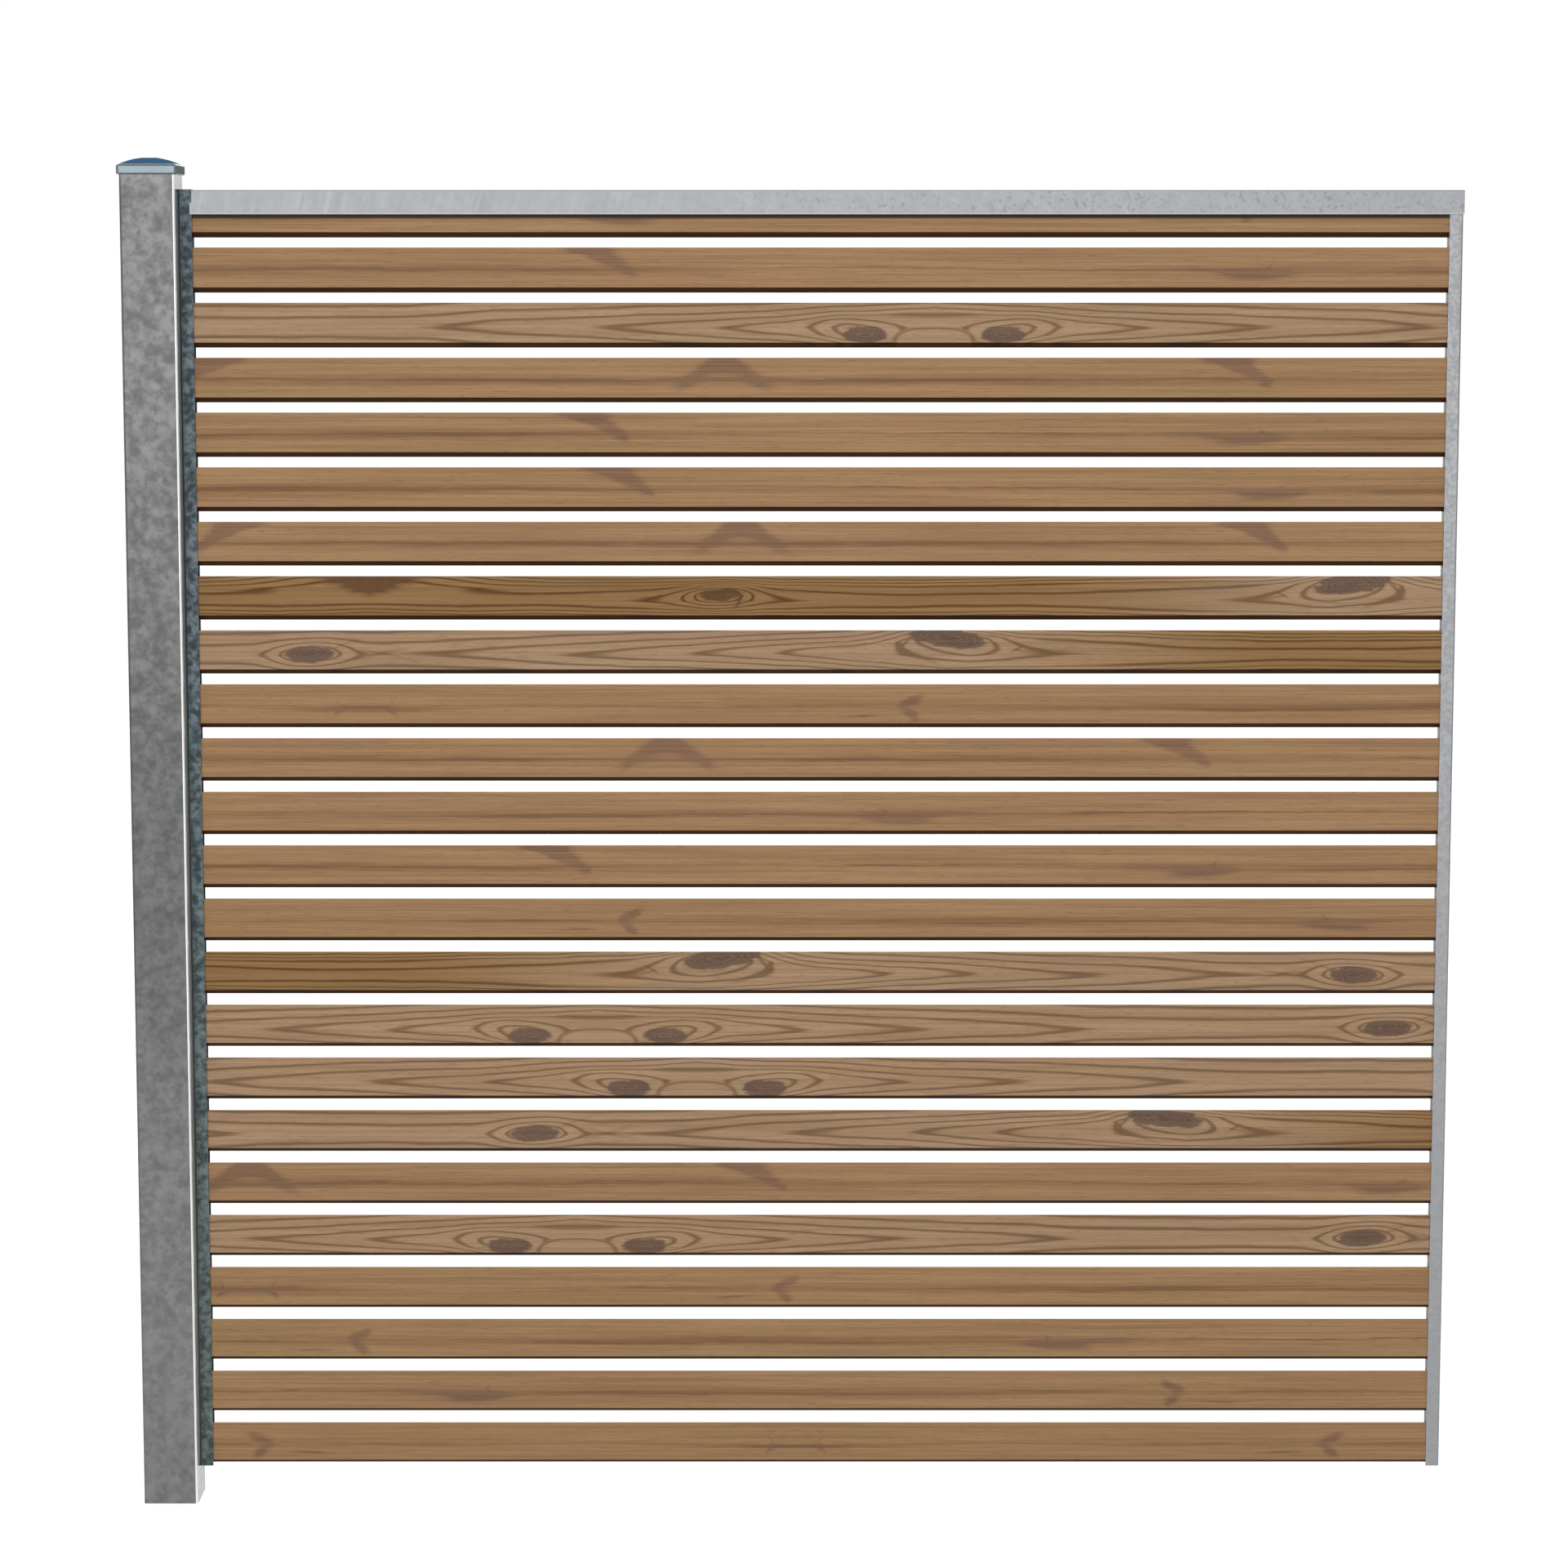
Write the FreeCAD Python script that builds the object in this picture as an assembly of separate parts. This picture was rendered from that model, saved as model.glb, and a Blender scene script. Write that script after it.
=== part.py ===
import FreeCAD, Part
import math
import os

# One bay of a slatted fence: a hollow steel post with a cap, and a panel of stacked timber
# slats held in two upright channels under a top rail.
# Millimetres. The origin is the centre of the post's foot. X runs along the panel, the
# seen front faces -Y, and Z is up.

# Post, a square tube
post_width = 76.0
post_wall = 3.0
post_bore_radius = 1.0

# Post cap, pushed over the tube
cap_clearance = 0.4
cap_wall = 3.0
cap_plate = 3.0
cap_skirt = 11.0
cap_corner_radius = 5.0
cap_bore_radius = 2.0
cap_top_round = 4.0
cap_lower_round = 2.4
cap_dome_rise = 9.0
cap_crown_half = 9.0
cap_height_over_rail = 20.5

# Panel
panel_width = 1755.0
ground_gap = 47.0

# Timber slats with slanted edges
slat_count = 24
slat_face = 55.0
slat_gap = 20.0
slat_thickness = 16.0
slat_edge_drop = 7.8
slat_edge_radius = 1.2
slat_end_clearance = 3.0
slat_side_clearance = 0.5
slat_top_clearance = 0.2

# Channels, folded from sheet, with a tab across the lower end
channel_wall = 2.0
channel_flange = 18.5
channel_inner_radius = 0.5
left_channel_rise = 0.8
tab_length = 14.0
tab_depth = 8.0

# Top rail, folded from sheet, with its left end cut back to a tongue
rail_wall = 2.0
rail_flange = 33.0
rail_inner_radius = 0.5
rail_clearance = 0.5
rail_overhang = 1.0
rail_lap = 2.3
relief_height = 17.0
relief_clearance = 0.4
tongue_side_clearance = 0.3
tongue_end_clearance = 0.5

# Spacers, pads and wedges in the channels
spacer_length = 12.0
spacer_clearance = 0.1
wedge_thin_edge = 1.5

# Screws that hold the left channel on the post
channel_screw_rows = 4
channel_screw_first_slat = 1
channel_screw_radius = 2.4
channel_screw_length = 13.0
channel_screw_tip = 4.0
channel_head_radius = 5.5
channel_head_height = 1.8
channel_head_round = 0.8
channel_hole_clearance = 0.1
free_channel_hole_radius = 2.8

# Screws that hold the rail
rail_screw_count = 5
rail_screw_inset = 90.0
rail_screw_rise = 10.0
rail_screw_radius = 2.0
rail_screw_length = 15.0
rail_screw_tip = 4.0
rail_head_radius = 4.0
rail_head_height = 2.6
rail_head_round = 1.2
rail_hole_clearance = 0.2

# Pilot holes, and the overrun of every cut past its face
pilot_clearance = 0.05
overrun = 5.0

# Places that follow from the sizes
pitch = slat_face + slat_gap
slat_half = slat_thickness / 2
slope = slat_edge_drop / slat_thickness
channel_half_inside = slat_half + slat_side_clearance
channel_half = channel_half_inside + channel_wall
spacer_half = channel_half_inside - channel_inner_radius - spacer_clearance
panel_left = post_width / 2
panel_right = panel_left + panel_width
left_web = panel_left + channel_wall
right_web = panel_right - channel_wall
flange_edge = panel_left + channel_flange
slat_left = left_web + slat_end_clearance
slat_right = right_web - slat_end_clearance
lowest_edge = ground_gap + slat_edge_drop
stack_top = lowest_edge + slat_count * pitch - slat_gap
rail_underside = stack_top + slat_top_clearance
rail_top = rail_underside + rail_wall
rail_foot = rail_top - rail_flange
rail_half_inside = channel_half + rail_clearance
rail_half = rail_half_inside + rail_wall
cap_foot = rail_top + cap_height_over_rail
post_top = cap_foot + cap_skirt

UP = FreeCAD.Vector(0, 0, 1)
ALONG = FreeCAD.Vector(1, 0, 0)
BACK = FreeCAD.Vector(0, 1, 0)


# Helpers
def block(low, high):
    size = [b - a for a, b in zip(low, high)]
    return Part.makeBox(*size, FreeCAD.Vector(*low))


def always(point):
    return True


def edges_along(shape, direction, keep=always):
    # Straight edges that run along a direction and whose middle passes the test
    found = []
    for edge in shape.Edges:
        first, last = edge.Vertexes[0].Point, edge.Vertexes[-1].Point
        run = last - first
        parallel = run.Length > 0 and abs(run.normalize().dot(direction)) > 0.999
        if parallel and keep((first + last) / 2):
            found.append(edge)
    return found


def rounded_block(low, high, radius, direction=UP, keep=always):
    body = block(low, high)
    return body.makeFillet(radius, edges_along(body, direction, keep))


def bar_along_x(outline, start, end):
    corners = [FreeCAD.Vector(start, y, z) for y, z in outline]
    face = Part.Face(Part.makePolygon(corners + corners[:1]))
    return face.extrude(ALONG * (end - start))


def rod(radius, start, direction, length):
    return Part.makeCylinder(radius, length, start, direction)


def screw(seat, direction, radius, length, tip, head_radius, head_height, head_round):
    # The seat is under the head, and the direction is the way that the shank points
    shank = rod(radius, seat, direction, length - tip)
    point = Part.makeCone(radius, 0, tip, seat + direction * (length - tip), direction)
    head = rod(head_radius, seat, direction * -1, head_height)
    crown = seat - direction * head_height
    rim = [e for e in head.Edges if e.isClosed() and e.CenterOfMass.isEqual(crown, head_round / 2)]
    return head.makeFillet(head_round, rim).fuse([shank, point]).removeSplitter()


# Where the screws sit
def channel_screw_heights():
    # Behind the ends of slats spread evenly up the stack, at the middle of each face
    last = slat_count - 1 - channel_screw_first_slat
    step = (last - channel_screw_first_slat) / (channel_screw_rows - 1)
    slats = [round(channel_screw_first_slat + step * i) for i in range(channel_screw_rows)]
    return [lowest_edge + n * pitch + (slat_face - slat_edge_drop) / 2 for n in slats]


def rail_screw_seats():
    # On the rear face of the rail, the last one over the right channel's flange
    first = flange_edge + rail_screw_inset
    last = panel_right - channel_flange / 2
    step = (last - first) / (rail_screw_count - 1)
    height = rail_foot + rail_screw_rise
    return [FreeCAD.Vector(first + step * i, rail_half, height) for i in range(rail_screw_count)]


def rail_screw_holes(clearance):
    radius = rail_screw_radius + clearance
    length = rail_screw_length + overrun
    return [rod(radius, seat + BACK * overrun, BACK * -1, length) for seat in rail_screw_seats()]


# Post and cap
def post():
    half = post_width / 2
    bore = half - post_wall
    tube = rounded_block((-half, -half, 0), (half, half, post_top), post_bore_radius + post_wall)
    hollow = rounded_block((-bore, -bore, -overrun), (bore, bore, post_top + overrun), post_bore_radius)
    start = FreeCAD.Vector(bore - overrun, 0, 0)
    radius = channel_screw_radius + pilot_clearance
    length = post_wall + 2 * overrun
    holes = [rod(radius, start + UP * z, ALONG, length) for z in channel_screw_heights()]
    return tube.cut([hollow] + holes)


def vault(half, radius, centre, low, high):
    # Two crossed barrels over a square give four curved panels that meet on the diagonals,
    # cut level at the bottom and at the crown
    along_x = rod(radius, FreeCAD.Vector(-half, 0, centre), ALONG, 2 * half)
    along_y = rod(radius, FreeCAD.Vector(0, -half, centre), BACK, 2 * half)
    return along_x.common(along_y).common(block((-half, -half, low), (half, half, high)))


def post_cap():
    seat = post_top
    inside = post_width / 2 + cap_clearance
    outside = inside + cap_wall
    plate_top = seat + cap_plate
    crown = plate_top + cap_dome_rise
    band = rounded_block((-outside, -outside, cap_foot), (outside, outside, plate_top), cap_corner_radius)
    upper_rim = [e for e in band.Edges if min(v.Z for v in e.Vertexes) > seat]
    band = band.makeFillet(cap_top_round, upper_rim)
    lower_rim = [e for e in band.Edges if max(v.Z for v in e.Vertexes) < cap_foot + cap_lower_round / 2]
    band = band.makeFillet(cap_lower_round, lower_rim)
    foot_half = outside - cap_top_round
    depth = (foot_half ** 2 - cap_crown_half ** 2 - cap_dome_rise ** 2) / (2 * cap_dome_rise)
    radius = math.hypot(foot_half, depth)
    centre = plate_top - depth
    cap = band.fuse(vault(foot_half, radius, centre, seat, crown)).removeSplitter()
    socket = rounded_block((-inside, -inside, cap_foot - overrun), (inside, inside, seat), cap_bore_radius)
    hollow_half = post_width / 2 - post_wall - cap_clearance
    hollow = vault(hollow_half, radius - cap_wall, centre, seat - overrun, crown - cap_wall)
    return cap.cut([socket, hollow])


# Channels
def channel(back, inward, top, hole_radius):
    # The web's back lies at x = back, and the mouth opens towards inward, which is 1 or -1
    web = back + inward * channel_wall
    mouth = back + inward * channel_flange
    beyond = mouth + inward * overrun
    outer = rounded_block((min(back, mouth), -channel_half, ground_gap),
                          (max(back, mouth), channel_half, top),
                          channel_inner_radius + channel_wall, UP, lambda p: abs(p.x - back) < channel_wall)
    inner = rounded_block((min(web, beyond), -channel_half_inside, ground_gap - overrun),
                          (max(web, beyond), channel_half_inside, top + overrun),
                          channel_inner_radius, UP, lambda p: abs(p.x - web) < channel_wall)
    start = FreeCAD.Vector(back - inward * overrun, 0, 0)
    length = channel_wall + 2 * overrun
    holes = [rod(hole_radius, start + UP * z, ALONG * inward, length) for z in channel_screw_heights()]
    tab_end = web + inward * tab_length
    tab = block((min(web, tab_end), -channel_half_inside, ground_gap),
                (max(web, tab_end), -channel_half_inside + tab_depth, ground_gap + channel_wall))
    return outer.cut([inner] + holes).fuse(tab).removeSplitter()


def left_channel():
    hole_radius = channel_screw_radius + channel_hole_clearance
    return channel(panel_left, 1, rail_top + left_channel_rise, hole_radius)


def right_channel():
    # Its web holes are free, for the screws into the next post
    bare = channel(panel_right, -1, rail_underside, free_channel_hole_radius)
    return bare.cut(rail_screw_holes(rail_hole_clearance)[-1])


# Top rail
def top_rail():
    lap = flange_edge - rail_lap
    start = flange_edge + relief_clearance
    end = panel_right + rail_overhang
    outer = rounded_block((lap, -rail_half, rail_foot), (end, rail_half, rail_top),
                          rail_inner_radius + rail_wall, ALONG, lambda p: p.z > rail_underside)
    inner = rounded_block((lap - overrun, -rail_half_inside, rail_foot - overrun),
                          (end + overrun, rail_half_inside, rail_underside),
                          rail_inner_radius, ALONG, lambda p: p.z > rail_foot)
    relief = block((lap - overrun, -rail_half - overrun, rail_top - relief_height),
                   (start, rail_half + overrun, rail_top + overrun))
    tongue_half = channel_half_inside - tongue_side_clearance
    tongue = block((left_web + tongue_end_clearance, -tongue_half, rail_underside),
                   (start + rail_wall, tongue_half, rail_top))
    rail = outer.cut([inner, relief]).fuse(tongue).removeSplitter()
    return rail.cut(rail_screw_holes(rail_hole_clearance))


# Timber
def slat(number):
    # Number 1 is the top slat, and the rail's screws run into it
    edge = lowest_edge + (slat_count - number) * pitch
    rear_edge = edge - slat_edge_drop
    outline = [(-slat_half, edge), (slat_half, rear_edge),
               (slat_half, rear_edge + slat_face), (-slat_half, edge + slat_face)]
    bar = bar_along_x(outline, slat_left, slat_right)
    bar = bar.makeFillet(slat_edge_radius, edges_along(bar, ALONG))
    if number == 1:
        bar = bar.cut(rail_screw_holes(pilot_clearance))
    return bar


# Blocks that stack in the channels
def slanted(y, edge):
    # Height at depth y of a slanted face whose front edge is at this height
    return edge - slope * (y + slat_half)


def stack_block(web, inward, outline):
    end = web + inward * spacer_length
    return bar_along_x(outline, min(web, end), max(web, end))


def both_sides(outline):
    return Part.makeCompound([stack_block(left_web, 1, outline), stack_block(right_web, -1, outline)])


def spacers(web, inward):
    front, rear = -spacer_half, spacer_half
    pieces = []
    for n in range(1, slat_count):
        upper = lowest_edge + n * pitch
        lower = upper - slat_gap
        outline = [(front, slanted(front, lower)), (rear, slanted(rear, lower)),
                   (rear, slanted(rear, upper)), (front, slanted(front, upper))]
        pieces.append(stack_block(web, inward, outline))
    return Part.makeCompound(pieces)


def bottom_pads():
    front = -spacer_half
    rear = -channel_half_inside + tab_depth
    base = ground_gap + channel_wall
    return both_sides([(front, base), (rear, base),
                       (rear, slanted(rear, lowest_edge)), (front, slanted(front, lowest_edge))])


def top_wedges():
    front = (wedge_thin_edge - slat_top_clearance) / slope - slat_half
    rear = spacer_half
    return both_sides([(front, slanted(front, stack_top)), (rear, slanted(rear, stack_top)),
                       (rear, rail_underside), (front, rail_underside)])


# Screws
def channel_screw(height):
    return screw(FreeCAD.Vector(left_web, 0, height), ALONG * -1,
                 channel_screw_radius, channel_screw_length, channel_screw_tip,
                 channel_head_radius, channel_head_height, channel_head_round)


def rail_screw(seat):
    return screw(seat, BACK * -1,
                 rail_screw_radius, rail_screw_length, rail_screw_tip,
                 rail_head_radius, rail_head_height, rail_head_round)


def build():
    parts = {
        "post": post(),
        "post_cap": post_cap(),
        "left_channel": left_channel(),
        "right_channel": right_channel(),
        "top_rail": top_rail(),
        "spacers_left": spacers(left_web, 1),
        "spacers_right": spacers(right_web, -1),
        "bottom_pads": bottom_pads(),
        "top_wedges": top_wedges(),
        "channel_screws": Part.makeCompound([channel_screw(z) for z in channel_screw_heights()]),
        "rail_screws": Part.makeCompound([rail_screw(seat) for seat in rail_screw_seats()]),
    }
    for number in range(1, slat_count + 1):
        parts[f"slat_{number:02d}"] = slat(number)
    return parts


os.makedirs("parts", exist_ok=True)
for node, shape in build().items():
    shape.exportStep(f"parts/{node}.step")
    print(node, "solids", len(shape.Solids), "valid", shape.isValid(), "volume", round(shape.Volume))
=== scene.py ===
import math

import bmesh
import bpy
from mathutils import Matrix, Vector


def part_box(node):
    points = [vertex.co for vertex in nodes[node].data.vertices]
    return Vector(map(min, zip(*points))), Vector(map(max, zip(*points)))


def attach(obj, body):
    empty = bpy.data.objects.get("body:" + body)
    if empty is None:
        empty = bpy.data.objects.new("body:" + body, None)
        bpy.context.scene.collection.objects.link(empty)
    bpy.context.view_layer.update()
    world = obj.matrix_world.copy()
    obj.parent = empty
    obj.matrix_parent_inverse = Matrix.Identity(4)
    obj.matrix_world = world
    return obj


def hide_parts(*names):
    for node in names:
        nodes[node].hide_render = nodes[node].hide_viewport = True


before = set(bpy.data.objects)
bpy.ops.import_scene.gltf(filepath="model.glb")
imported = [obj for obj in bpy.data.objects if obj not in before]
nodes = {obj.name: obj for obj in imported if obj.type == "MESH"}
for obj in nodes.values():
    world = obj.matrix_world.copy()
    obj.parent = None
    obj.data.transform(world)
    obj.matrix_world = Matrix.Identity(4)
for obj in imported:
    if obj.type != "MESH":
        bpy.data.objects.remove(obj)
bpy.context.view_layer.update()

# A fence bay: a galvanised post with a cap, and timber slats in two channels under a rail.
# Everything is in metres. X runs along the panel, the seen front faces -Y, and Z is up.

print("frame loaded:", len(nodes), "nodes")


# Small helpers for building node trees

def plug(tree, socket, value):
    # A socket takes another node's output or a plain value
    if isinstance(value, bpy.types.NodeSocket):
        tree.links.new(value, socket)
    else:
        socket.default_value = value


def calc(tree, operation, *values, clamp=False):
    node = tree.nodes.new("ShaderNodeMath")
    node.operation = operation
    node.use_clamp = clamp
    for socket, value in zip(node.inputs, values):
        plug(tree, socket, value)
    return node.outputs[0]


def times(tree, first, second, clamp=False):
    return calc(tree, "MULTIPLY", first, second, clamp=clamp)


def timesPlus(tree, first, second, third):
    return calc(tree, "MULTIPLY_ADD", first, second, third)


def total(tree, values):
    result = values[0]
    for value in values[1:]:
        result = calc(tree, "ADD", result, value)
    return result


def remap(tree, value, low, high, toLow=0.0, toHigh=1.0):
    node = tree.nodes.new("ShaderNodeMapRange")
    node.interpolation_type = "SMOOTHSTEP"
    plug(tree, node.inputs["Value"], value)
    plug(tree, node.inputs["From Min"], low)
    plug(tree, node.inputs["From Max"], high)
    plug(tree, node.inputs["To Min"], toLow)
    plug(tree, node.inputs["To Max"], toHigh)
    return node.outputs["Result"]


def mixColour(tree, factor, first, second, kind="MIX"):
    node = tree.nodes.new("ShaderNodeMix")
    node.data_type = "RGBA"
    node.blend_type = kind
    plug(tree, node.inputs["Factor"], factor)
    plug(tree, node.inputs[6], first)
    plug(tree, node.inputs[7], second)
    return node.outputs[2]


def noise(tree, vector, scale, detail=2.0, roughness=0.5, swirl=0.0):
    # Scale has one number for each axis, in waves per metre
    place = tree.nodes.new("ShaderNodeVectorMath")
    place.operation = "MULTIPLY"
    plug(tree, place.inputs[0], vector)
    place.inputs[1].default_value = scale
    node = tree.nodes.new("ShaderNodeTexNoise")
    plug(tree, node.inputs["Vector"], place.outputs[0])
    node.inputs["Scale"].default_value = 1.0
    node.inputs["Detail"].default_value = detail
    node.inputs["Roughness"].default_value = roughness
    node.inputs["Distortion"].default_value = swirl
    return node.outputs["Fac"]


def joinXyz(tree, x, y, z):
    node = tree.nodes.new("ShaderNodeCombineXYZ")
    for socket, value in zip(node.inputs, (x, y, z)):
        plug(tree, socket, value)
    return node.outputs[0]


def splitXyz(tree, vector):
    node = tree.nodes.new("ShaderNodeSeparateXYZ")
    plug(tree, node.inputs[0], vector)
    return node.outputs[0], node.outputs[1], node.outputs[2]


def coordinates(tree, kind="Object"):
    return tree.nodes.new("ShaderNodeTexCoord").outputs[kind]


def newMaterial(name):
    material = bpy.data.materials.new(name)
    material.use_nodes = True
    tree = material.node_tree
    return material, tree, tree.nodes["Principled BSDF"]


def bump(tree, shader, height, distance, strength=1.0):
    node = tree.nodes.new("ShaderNodeBump")
    node.inputs["Strength"].default_value = strength
    node.inputs["Distance"].default_value = distance
    plug(tree, node.inputs["Height"], height)
    tree.links.new(node.outputs["Normal"], shader.inputs["Normal"])


def blend(tree, first, second, share):
    # The first value by its share, and the second by what is left
    return timesPlus(tree, first, share, times(tree, second, 1.0 - share))


def outShare(tree, offset, reach):
    # How far out an offset is, as a share of its reach
    return calc(tree, "ABSOLUTE", calc(tree, "DIVIDE", offset, reach))


def wander(tree, place, scale, reach):
    # A noise that swings by half of its reach to either side of nought
    swing = calc(tree, "SUBTRACT", noise(tree, place, scale, detail=3.0), 0.5)
    return times(tree, swing, reach)


def fade(tree, value, edge, offsets, least=0.0, full=1.0):
    # Rises from the least to full between two offsets from an edge
    return remap(tree, value, edge + offsets[0], edge + offsets[1], least, full)


def toned(tree, colour, tone):
    # Brightens or darkens a colour by one number
    return mixColour(tree, 1.0, colour, joinXyz(tree, tone, tone, tone), "MULTIPLY")


def newGroup(name, inputs, outputs):
    group = bpy.data.node_groups.new(name, "ShaderNodeTree")
    for socket, kind in inputs:
        group.interface.new_socket(name=socket, in_out="INPUT", socket_type=kind)
    for socket, kind in outputs:
        group.interface.new_socket(name=socket, in_out="OUTPUT", socket_type=kind)
    entry = group.nodes.new("NodeGroupInput")
    leave = group.nodes.new("NodeGroupOutput")
    return group, entry.outputs, leave.inputs


def useGroup(tree, group, **values):
    node = tree.nodes.new("ShaderNodeGroup")
    node.node_tree = group
    for name, value in values.items():
        plug(tree, node.inputs[name], value)
    return node.outputs


def intoScene(name, data):
    thing = bpy.data.objects.new(name, data)
    bpy.context.scene.collection.objects.link(thing)
    return thing


def dress(nodeName, material):
    mesh = nodes[nodeName].data
    mesh.materials.clear()
    mesh.materials.append(material)


# Timber. Every slat is cut from one of two boards, a plain one and a knotty one, which turn
# back on themselves at both ends. U is the way along the board and V the way up its face.

timber = {
    "faceHeight": 0.055,
    "edgeDrop": 0.0078,
    "halfThickness": 0.008,
    "boardLength": 3.347,
    "bluntness": 0.09,  # rounds the arrow heads in the growth rings
    "ridge": 0.11,  # lowers them along their middle
    "railShadowEdge": (-0.0076, -0.0034),  # from the rail's foot, where it starts and where it is full
    "gloss": 0.18,
    "roughness": (0.62, 0.72),
    "underRoughness": 0.25,
    # Where a face turns down, and where it is a cut end, by its normal
    "underNormal": (-0.35, -0.85),
    "endNormal": (0.6, 0.9),
    "reliefDepth": 0.00025,
    "reliefStrength": 0.5,
    "seedStep": 0.37,
    # Where U is nought on each slat, from the top one down: board, place in metres, direction
    "cuts": [
        ("plain", 2.245, -1), ("plain", -0.091, 1), ("knotty", 1.071, 1), ("plain", 0.782, 1),
        ("plain", -0.101, 1), ("plain", -0.068, 1), ("plain", 0.806, 1), ("knotty", 3.64, -1),
        ("knotty", -0.898, 1), ("plain", 3.632, -1), ("plain", 0.703, 1), ("plain", 2.625, -1),
        ("plain", -0.158, 1), ("plain", 3.24, -1), ("knotty", 2.768, -1), ("knotty", 0.604, 1),
        ("knotty", 0.743, 1), ("knotty", -0.590, 1), ("plain", 0.114, 1), ("knotty", 0.574, 1),
        ("plain", 3.456, -1), ("plain", 2.857, -1), ("plain", -1.175, 1), ("plain", 4.229, -1),
    ],
}
slope = timber["edgeDrop"] / (2 * timber["halfThickness"])

boardColours = {
    "plainLight": (0.374, 0.225, 0.111, 1.0),
    "plainRed": (0.354, 0.202, 0.101, 1.0),
    "plainBand": (0.215, 0.116, 0.055, 1.0),
    "plainSmear": (0.228, 0.126, 0.075, 1.0),
    "plainGolden": (0.354, 0.215, 0.099, 1.0),
    "knottyLight": (0.408, 0.266, 0.158, 1.0),
    "knottyLine": (0.165, 0.088, 0.040, 1.0),
    "ochre": (0.280, 0.159, 0.059, 1.0),
    "ochreLine": (0.112, 0.045, 0.009, 1.0),
    "knot": (0.105, 0.066, 0.047, 1.0),
    "knotPale": (0.172, 0.106, 0.072, 1.0),
    "paintedUnderShade": (0.18, 0.12, 0.07, 1.0),
    "endGrain": (0.150, 0.085, 0.042, 1.0),
    "railShadow": (0.034, 0.023, 0.012, 1.0),
}

# A mark in the grain is given by its middle at U and V, its half length and its half height
markInputs = [("Place", "NodeSocketVector")]
markInputs += [(name, "NodeSocketFloat") for name in ("U", "V", "Length", "Height")]
markOutputs = [("Amount", "NodeSocketFloat")]
boardInputs = [("Place", "NodeSocketVector")]
boardOutputs = [("Colour", "NodeSocketColor"), ("Relief", "NodeSocketFloat")]

# How sharply a stroke ends, along and across
strokePower = {"along": 2.4, "across": 2.0}


def makeStroke():
    # A soft stroke on the board: 1 in its middle, fading along and across
    group, given, result = newGroup("stroke", markInputs + [("Tilt", "NodeSocketFloat")], markOutputs)
    u, _, v = splitXyz(group, given["Place"])
    du = calc(group, "SUBTRACT", u, given["U"])
    dv = calc(group, "SUBTRACT", v, given["V"])
    cosine = calc(group, "COSINE", given["Tilt"])
    sine = calc(group, "SINE", given["Tilt"])
    along = timesPlus(group, dv, sine, times(group, du, cosine))
    across = times(group, dv, cosine)
    across = calc(group, "SUBTRACT", across, times(group, du, sine))
    alongShare = calc(group, "POWER", outShare(group, along, given["Length"]), strokePower["along"])
    acrossShare = calc(group, "POWER", outShare(group, across, given["Height"]), strokePower["across"])
    fall = times(group, calc(group, "ADD", alongShare, acrossShare), -1.0)
    plug(group, result["Amount"], calc(group, "EXPONENT", fall))
    return group


def makeHill():
    # A hill in the growth rings, whose level lines are long arrow heads
    group, given, result = newGroup("ringHill", markInputs + [("Rings", "NodeSocketFloat")], markOutputs)
    u, _, v = splitXyz(group, given["Place"])
    du = outShare(group, calc(group, "SUBTRACT", u, given["U"]), given["Length"])
    dv = outShare(group, calc(group, "SUBTRACT", v, given["V"]), given["Height"])
    # The heads are blunt, and along their middle a little lower than sharp ones
    rounded = calc(group, "SQRT", timesPlus(group, dv, dv, timber["bluntness"]))
    rounded = calc(group, "SUBTRACT", rounded, timber["bluntness"] ** 0.5 - timber["ridge"])
    fall = times(group, calc(group, "ADD", du, rounded), -1.0)
    plug(group, result["Amount"], times(group, calc(group, "EXPONENT", fall), given["Rings"]))
    return group


# Waves per metre along the board, through it and up its face
fibreLook = {
    "fine": (5.0, 220.0, 620.0),
    "coarse": (2.2, 70.0, 190.0),
    "fineShare": 0.65,
    "pores": (55.0, 300.0, 700.0),
    "drift": (2.6, 20.0, 38.0),
    "fineRange": (0.3, 0.7),
    "poreRange": (0.58, 0.74),
    "driftRange": (0.35, 0.65),
}


def makeFibre():
    # Fine fibres, short dark pores and slow colour drift, shared by both boards
    group, given, result = newGroup(
        "fibre", boardInputs, [(name, "NodeSocketFloat") for name in ("Fine", "Pores", "Drift")])
    place = given["Place"]
    fine = noise(group, place, fibreLook["fine"], detail=3.0, roughness=0.6)
    both = blend(group, fine, noise(group, place, fibreLook["coarse"]), fibreLook["fineShare"])
    plug(group, result["Fine"], remap(group, both, *fibreLook["fineRange"]))
    pores = noise(group, place, fibreLook["pores"], detail=1.0)
    plug(group, result["Pores"], remap(group, pores, *fibreLook["poreRange"]))
    drift = noise(group, place, fibreLook["drift"])
    plug(group, result["Drift"], remap(group, drift, *fibreLook["driftRange"]))
    return group


strokeGroup = makeStroke()
hillGroup = makeHill()
fibreGroup = makeFibre()


def strokes(tree, place, rows):
    # Rows of U, V, half length, half height, tilt in degrees and strength
    amounts = []
    for u, v, length, height, tilt, strength in rows:
        stroke = useGroup(tree, strokeGroup, Place=place, U=u, V=v, Length=length, Height=height,
                          Tilt=math.radians(tilt))
        amounts.append(times(tree, stroke["Amount"], strength))
    return total(tree, amounts)


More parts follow.
